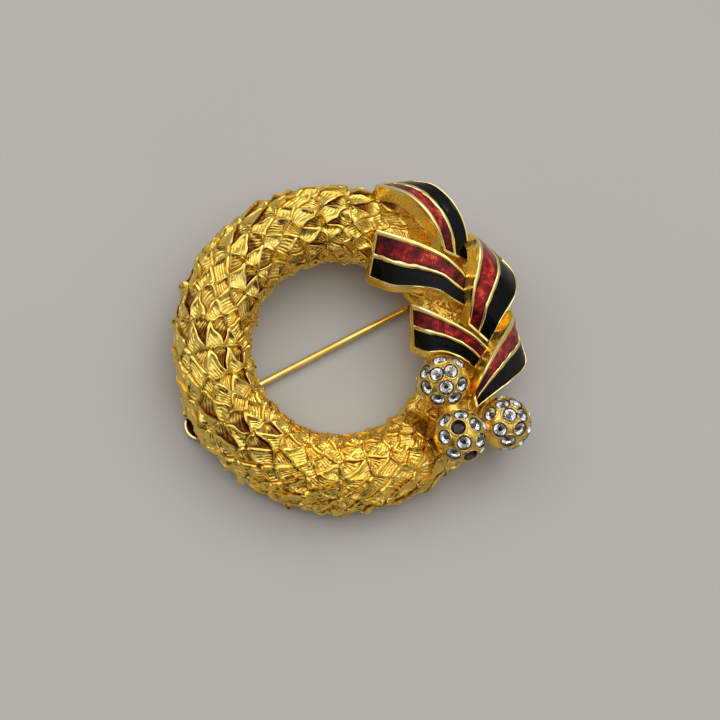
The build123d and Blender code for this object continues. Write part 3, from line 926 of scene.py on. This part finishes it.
def make_brilliant():
    """Points and faces of one stone, girdle at z = 0, with its foiled faces marked."""
    half = math.pi / 8
    points, faces, foiled = [], [], []

    def circle(radius, z, count, turn):
        start = len(points)
        for i in range(count):
            angle = 2 * math.pi * i / count + turn
            points.append((radius * math.cos(angle), radius * math.sin(angle), z))
        return [start + i for i in range(count)]

    def face(corners, foil=0):
        faces.append(tuple(corners))
        foiled.append(foil)

    top = girdle_thickness / 2
    reach = star_share * math.cos(half)
    star_z = top + crown_height * (1 - (reach - table_share) / (1 - table_share))
    table = circle(stone_radius * table_share, top + crown_height, 8, 0)
    star = circle(stone_radius * star_share, star_z, 8, half)
    upper = circle(stone_radius, top, 16, 0)
    lower = circle(stone_radius, -top, 16, 0)
    deep_z = -top - pavilion_depth * (1 - lower_share * math.cos(half))
    deep = circle(stone_radius * lower_share, deep_z, 8, half)
    culet = circle(0, -top - pavilion_depth, 1, 0)[0]
    face(table)
    for i in range(8):
        face((table[i], star[i], table[(i + 1) % 8]))
        face((table[i], star[i - 1], upper[2 * i], star[i]))
        face((star[i], upper[2 * i], upper[2 * i + 1]))
        face((star[i], upper[2 * i + 1], upper[(2 * i + 2) % 16]))
        face((culet, deep[i], lower[2 * i], deep[i - 1]), foil=1)
        face((deep[i], lower[2 * i + 1], lower[2 * i]), foil=1)
        face((deep[i], lower[(2 * i + 2) % 16], lower[2 * i + 1]), foil=1)
    for i in range(16):
        after = (i + 1) % 16
        face((upper[i], lower[i], lower[after], upper[after]))
    return np.array(points), faces, foiled


def make_stones(name):
    """The stones of one ball as a piece, and a 1 for each of its foiled faces."""
    stone, faces, foiled = make_brilliant()
    seat_radius = stone_radius + stone_seat_clearance
    height = math.sqrt(ball_radius ** 2 - seat_radius ** 2) - stone_sink
    centre = ball_centre(balls[name])
    points, all_faces, marks = [], [], []
    for index, seat in enumerate(s for s in stone_seats[name] if s.filled):
        out = seat_direction(seat)
        spin = np.array(Matrix.Rotation(stone_turn * index, 3, "Z"))
        start = len(points) * len(stone)
        points.append(centre + out * height + stone @ spin @ axes_along(out))
        all_faces += [tuple(start + corner for corner in face) for face in faces]
        marks += foiled
    piece = add_mesh("stones_cut_" + name, np.concatenate(points), all_faces)
    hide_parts("stones_" + name)
    return piece, marks


stone_pieces = [make_stones(name) for name in balls]


# Materials

def feed(tree, node, inputs):
    """Links each input to a node's output, or sets it to a number or vector. A tuple is a
    colour."""
    for name, value in inputs.items():
        socket = node.inputs[name]
        if isinstance(value, bpy.types.NodeSocket):
            tree.links.new(value, socket)
        elif isinstance(value, tuple):
            socket.default_value = (*value, 1)
        else:
            socket.default_value = value


def new_node(tree, kind, inputs, **settings):
    """A new node with its settings made and its inputs fed."""
    node = tree.nodes.new("ShaderNode" + kind)
    for name, value in settings.items():
        setattr(node, name, value)
    feed(tree, node, inputs)
    return node


def new_material(name):
    material = bpy.data.materials.new(name)
    material.use_nodes = True
    tree = material.node_tree
    return material, tree, tree.nodes["Principled BSDF"]


def noise_value(tree, scale, detail):
    """Noise over the surface, with its scale per millimetre."""
    where = new_node(tree, "TexCoord", {}).outputs["Object"]
    mapping = new_node(tree, "Mapping", {"Vector": where, "Scale": [1 / mm] * 3})
    inputs = {"Vector": mapping.outputs["Vector"], "Scale": scale, "Detail": detail}
    return new_node(tree, "TexNoise", inputs).outputs["Fac"]


def ramp(tree, value, stops):
    """Colours along a value, from (position, colour) stops in rising order."""
    node = new_node(tree, "ValToRGB", {"Fac": value})
    elements = node.color_ramp.elements
    for _ in stops[2:]:
        elements.new(1.0)
    for element, (position, colour) in zip(elements, stops):
        element.position = position
        element.color = (*colour, 1)
    return node.outputs["Color"]


def mix_colours(tree, share, first, second, blend="MIX"):
    inputs = {0: share, 6: first, 7: second}
    return new_node(tree, "Mix", inputs, data_type="RGBA", blend_type=blend).outputs[2]


def math_node(tree, operation, first, second=0.0, clamp=False):
    return new_node(tree, "Math", {0: first, 1: second}, operation=operation, use_clamp=clamp).outputs[0]


def attribute(tree, name, output="Fac"):
    return new_node(tree, "Attribute", {}, attribute_name=name).outputs[output]


def bumped(tree, height, distance):
    """Normals of a surface raised by a height of 0 to 1 times a distance in millimetres."""
    inputs = {"Height": height, "Distance": distance * mm, "Strength": 1.0}
    return new_node(tree, "Bump", inputs).outputs["Normal"]


def spread(tree, value, low, high):
    """The middle of a noise's range, spread from low to high."""
    inputs = {"Value": value, "From Min": 0.3, "From Max": 0.7, "To Min": low, "To Max": high}
    return new_node(tree, "MapRange", inputs).outputs["Result"]


pitted_gold = (0.96, 0.60, 0.08)
# Dark brown for the painted shade in the ring's crevices and grooves and its painted dark reflections
painted_shade_brown = (0.19, 0.08, 0.015)
# Near black for the balls' seats: painted shade round the stones and outside the rims, and dark residue with shade
# in the empty seats
seat_shade_and_residue = (0.02, 0.009, 0.004)
# Painted shade for the inside of the hinge plate's round cup
cup_shade = (0.05, 0.016, 0.006)


def gold_material(name, pale, deep, roughness, grain, grain_size, holes=False, carved=False):
    """Bright gold plate: colour drifts between two golds, with a fine cast grain. Carved gold
    is painted dark brown as shade in its crevices and grooves and as dark reflections on
    some scales, and warmer where it is pitted. Gold with holes is painted near black in the
    balls' seats: as shade round the stones and just outside each seat's rim, and as dark
    residue with shade in the empty seats."""
    material, tree, shader = new_material(name)
    colour = ramp(tree, noise_value(tree, 0.35, 3.0), [(0.35, deep), (0.65, pale)])
    fine = noise_value(tree, 1 / grain_size, 5.0)
    metal = 1.0
    if carved:
        warm = math_node(tree, "MULTIPLY", attribute(tree, "pitted"), 0.55)
        colour = mix_colours(tree, warm, colour, pitted_gold)
        # Painted shade and painted dark reflections of the carving, read from the ring's dark mark
        shade_mix = math_node(tree, "MULTIPLY", attribute(tree, "deep"), 1.1, clamp=True)
        colour = mix_colours(tree, shade_mix, colour, painted_shade_brown)
    if holes:
        hole = attribute(tree, "hole")
        colour = mix_colours(tree, hole, colour, seat_shade_and_residue)
        metal = math_node(tree, "SUBTRACT", 1.0, hole, clamp=True)
    feed(tree, shader, {
        "Base Color": colour,
        "Metallic": metal,
        "Roughness": spread(tree, fine, 0.8 * roughness, 1.35 * roughness),
        "Normal": bumped(tree, fine, grain),
    })
    return material


gold_cast = gold_material("gold_cast", (0.94, 0.70, 0.18), (0.88, 0.60, 0.105), 0.25, 0.02, 0.3, carved=True)
gold_polished = gold_material("gold_polished", (0.98, 0.80, 0.36), (0.95, 0.71, 0.20), 0.13, 0.01, 0.4)
# The bands' flanks: rougher, grainier gold, painted more orange and brighter than the polished gold as warm light
# reflected between the gold parts
gold_flank = gold_material("gold_flank", (1.0, 0.74, 0.17), (1.0, 0.62, 0.08), 0.27, 0.05, 0.3)
gold_balls = gold_material("gold_balls", (0.97, 0.69, 0.17), (0.93, 0.57, 0.08), 0.18, 0.01, 0.4, holes=True)
gold_wire = gold_material("gold_wire", (0.94, 0.71, 0.24), (0.88, 0.58, 0.12), 0.16, 0.004, 0.6)


def cup_material():
    """The polished gold, painted near black with shade inside the hinge plate's round cup."""
    material = gold_polished.copy()
    material.name = "gold_cup"
    tree = material.node_tree
    shader = tree.nodes["Principled BSDF"]
    calc = partial(math_node, tree)
    bore_margin = 0.03
    mouth_margin = 0.05
    along = socket_diameter / 2 - ring_base_radius - socket_overhang
    in_pin_frame = Vector((along, stem_offset - socket_offset, -solder_gap))
    centre = laid @ Matrix.Rotation(math.radians(stem_direction), 4, "Z") @ in_pin_frame
    axis = (laid.to_3x3() @ Vector((0, 0, 1))).normalized()
    bore_radius = socket_diameter / 2 - socket_wall
    where = new_node(tree, "TexCoord", {}).outputs["Object"]
    offset = new_node(tree, "VectorMath", {0: where, 1: centre}, operation="SUBTRACT")
    both = {0: offset.outputs["Vector"], 1: axis}
    height = new_node(tree, "VectorMath", both, operation="DOT_PRODUCT").outputs["Value"]
    sideways = new_node(tree, "VectorMath", both, operation="CROSS_PRODUCT").outputs["Vector"]
    length = new_node(tree, "VectorMath", {0: sideways}, operation="LENGTH").outputs["Value"]
    near = calc("LESS_THAN", length, (bore_radius + bore_margin) * mm)
    above = calc("GREATER_THAN", height, (socket_floor - socket_height - mouth_margin) * mm)
    below = calc("LESS_THAN", height, mouth_margin * mm)
    inside = calc("MULTIPLY", near, calc("MULTIPLY", above, below))
    polished = shader.inputs["Base Color"].links[0].from_socket
    # Painted shade: the cup's inside is painted near black
    feed(tree, shader, {"Base Color": mix_colours(tree, inside, polished, cup_shade)})
    return material


gold_cup = cup_material()


def red_enamel():
    """Translucent red over ribbed metal: bright where it is thin, maroon at the ends."""
    material, tree, shader = new_material("enamel_red")
    calc = partial(math_node, tree)
    times = partial(calc, "MULTIPLY")
    rib_spacing = 0.36
    distance, share, across = new_node(tree, "SeparateXYZ", {0: attribute(tree, "along", "Vector")}).outputs
    cloud = noise_value(tree, 0.75, 5.0)
    fine = noise_value(tree, 2.6, 4.0)
    rib = times(calc("SINE", times(distance, 2 * math.pi / rib_spacing)), 0.06)
    middle = calc("SUBTRACT", share, 0.5)
    middle = times(times(middle, middle), -1.1)
    aside = calc("SUBTRACT", times(across, 2.0), 1.0)
    aside = calc("POWER", calc("ABSOLUTE", aside), 4.0)
    light = calc("ADD", times(cloud, 1.15), middle)
    light = calc("ADD", light, times(fine, 0.4))
    light = calc("SUBTRACT", light, times(aside, 0.16))
    light = calc("SUBTRACT", light, 0.10)
    light = calc("ADD", light, rib, clamp=True)
    colour = ramp(tree, light, [
        (0.28, (0.02, 0.0015, 0.003)),
        (0.46, (0.085, 0.0025, 0.004)),
        (0.62, (0.24, 0.007, 0.007)),
        (0.76, (0.50, 0.022, 0.014)),
        (0.90, (0.85, 0.13, 0.05)),
    ])
    feed(tree, shader, {
        "Base Color": colour,
        "Roughness": 0.35,
        "Specular IOR Level": 0.1,
        "Coat Weight": 0.6,
        "Coat IOR": 1.3,
        "Coat Roughness": 0.05,
        "Normal": bumped(tree, fine, 0.01),
    })
    return material


def black_enamel():
    """Glossy black with a little pale dust, over a soft swell."""
    material, tree, shader = new_material("enamel_black")
    dust = [(0.66, (0.002, 0.002, 0.002)), (0.82, (0.06, 0.06, 0.055))]
    swell = noise_value(tree, 0.6, 3.0)
    feed(tree, shader, {
        "Base Color": ramp(tree, noise_value(tree, 9.0, 2.0), dust),
        "Roughness": spread(tree, swell, 0.05, 0.10),
        "IOR": 1.24,
        "Normal": bumped(tree, swell, 0.06),
    })
    return material


def plain_material(name, scale, detail, stops, finish):
    """A material whose colour drifts faintly, with the same finish all over."""
    material, tree, shader = new_material(name)
    colour = ramp(tree, noise_value(tree, scale, detail), stops)
    feed(tree, shader, {"Base Color": colour, **finish})
    return material


red, black = red_enamel(), black_enamel()
glass = plain_material("crystal", 0.8, 2.0, [(0.4, (0.97, 0.98, 1.0)), (0.6, (1.0, 0.99, 0.97))], {
    "Transmission Weight": 1.0,
    "Roughness": 0.0,
    "IOR": 1.6,
})
silver = plain_material("silver_foil", 1.5, 2.0, [(0.35, (0.90, 0.90, 0.91)), (0.65, (1.0, 1.0, 0.99))], {
    "Metallic": 1.0,
    "Roughness": 0.06,
})
paper_tones = [(0.3, (0.481, 0.474, 0.455)), (0.7, (0.497, 0.490, 0.471))]
paper = plain_material("floor_paper", 0.02, 3.0, paper_tones, {"Roughness": 0.85})


# Which piece has which material

def dress(piece, *materials):
    piece.data.materials.clear()
    for material in materials:
        piece.data.materials.append(material)


for piece in ring_pieces:
    dress(piece, gold_cast)
flanks = [int(index in flank_faces) for index in range(outline_points)]
for piece in ribbon_pieces:
    dress(piece, gold_polished, gold_flank)
    rows = (len(piece.data.polygons) - 2) // outline_points
    piece.data.polygons.foreach_set("material_index", [1, 1] + flanks * rows)
for piece in red_pieces:
    dress(piece, red)
for piece in black_pieces:
    dress(piece, black)
dress(cluster, gold_balls)
for piece, foiled in stone_pieces:
    dress(piece, glass, silver)
    piece.data.polygons.foreach_set("material_index", foiled)
frame["nodes"]["pin_hinge"].material_slots[0].material = gold_cup
frame["nodes"]["pin_catch"].material_slots[0].material = gold_polished
for name in ("pin_stem", "hinge_rivet"):
    frame["nodes"][name].material_slots[0].material = gold_wire


# Floor, light and camera

floor_mesh = bpy.data.meshes.new("floor")
floor_reach = 3.0
corners = [(x * floor_reach, y * floor_reach, 0) for x, y in ((-1, -1), (1, -1), (1, 1), (-1, 1))]
floor_mesh.from_pydata(corners, [], [(0, 1, 2, 3)])
floor = add_object("floor", floor_mesh)
dress(floor, paper)
lamp_aim_height = 5


def add_area(name, position, size, power, colour):
    """A soft lamp that looks at the brooch's middle, with its place in millimetres."""
    lamp = bpy.data.lights.new(name, "AREA")
    lamp.shape = "DISK"
    lamp.size = size * mm
    lamp.energy = power
    lamp.color = colour
    holder = add_object(name, lamp)
    holder.location = Vector(position) * mm
    aim = Vector((0, 0, lamp_aim_height * mm)) - holder.location
    holder.rotation_euler = aim.to_track_quat("-Z", "Y").to_euler()


add_area("window", (700, 1050, 1250), 900, 4.5, (1.0, 0.98, 0.95))
add_area("side", (-900, 380, 800), 500, 1.2, (0.96, 0.98, 1.0))


def make_world():
    """Plain room: bright overhead, dim low down, dark where the photographer stands."""
    world = bpy.data.worlds.new("room")
    bpy.context.scene.world = world
    world.use_nodes = True
    tree = world.node_tree
    where = new_node(tree, "TexCoord", {}).outputs["Generated"]
    levels = []
    for way in ((0.02, 0.22, 0.97), (-0.25, -0.80, 0.55)):
        toward = {0: where, 1: Vector(way).normalized()}
        levels.append(new_node(tree, "VectorMath", toward, operation="DOT_PRODUCT").outputs["Value"])
    room = ramp(tree, levels[0], [
        (0.0, (0.30, 0.29, 0.27)),
        (0.35, (0.42, 0.41, 0.39)),
        (0.70, (0.80, 0.79, 0.77)),
        (0.90, (1.28, 1.27, 1.25)),
        (1.0, (1.38, 1.37, 1.35)),
    ])
    person = ramp(tree, levels[1], [(0.74, (1.0, 1.0, 1.0)), (0.93, (0.07, 0.055, 0.045))])
    light = mix_colours(tree, 1.0, room, person, blend="MULTIPLY")
    feed(tree, tree.nodes["Background"], {"Color": light, "Strength": 1.0})


make_world()

# The camera as fitted to the photograph, in the ring's own frame: its turn as a rotation
# vector, and its shift and distance in millimetres
focal_pixels = 1500.0
picture_pixels = 720.0
sensor_width = 36.0
camera_tip = Vector((-0.1572, 0.1841, 0.0))
camera_shift = Vector((-3.4407, 1.4615, 0.0))
camera_distance = 220.84


def add_camera():
    turn = Matrix.Rotation(camera_tip.length, 3, camera_tip)
    seen_from = turn.transposed() @ (Vector((0, 0, camera_distance)) - camera_shift)
    pose = Matrix.Translation(seen_from) @ turn.transposed().to_4x4()
    data = bpy.data.cameras.new("camera")
    data.sensor_width = sensor_width
    data.lens = focal_pixels / picture_pixels * sensor_width
    data.clip_start = 0.01
    holder = add_object("camera", data)
    holder.rotation_mode = "QUATERNION"
    holder.location, holder.rotation_quaternion, _ = (laid @ pose).decompose()
    bpy.context.scene.camera = holder


add_camera()
bpy.context.scene.view_settings.view_transform = "Standard"
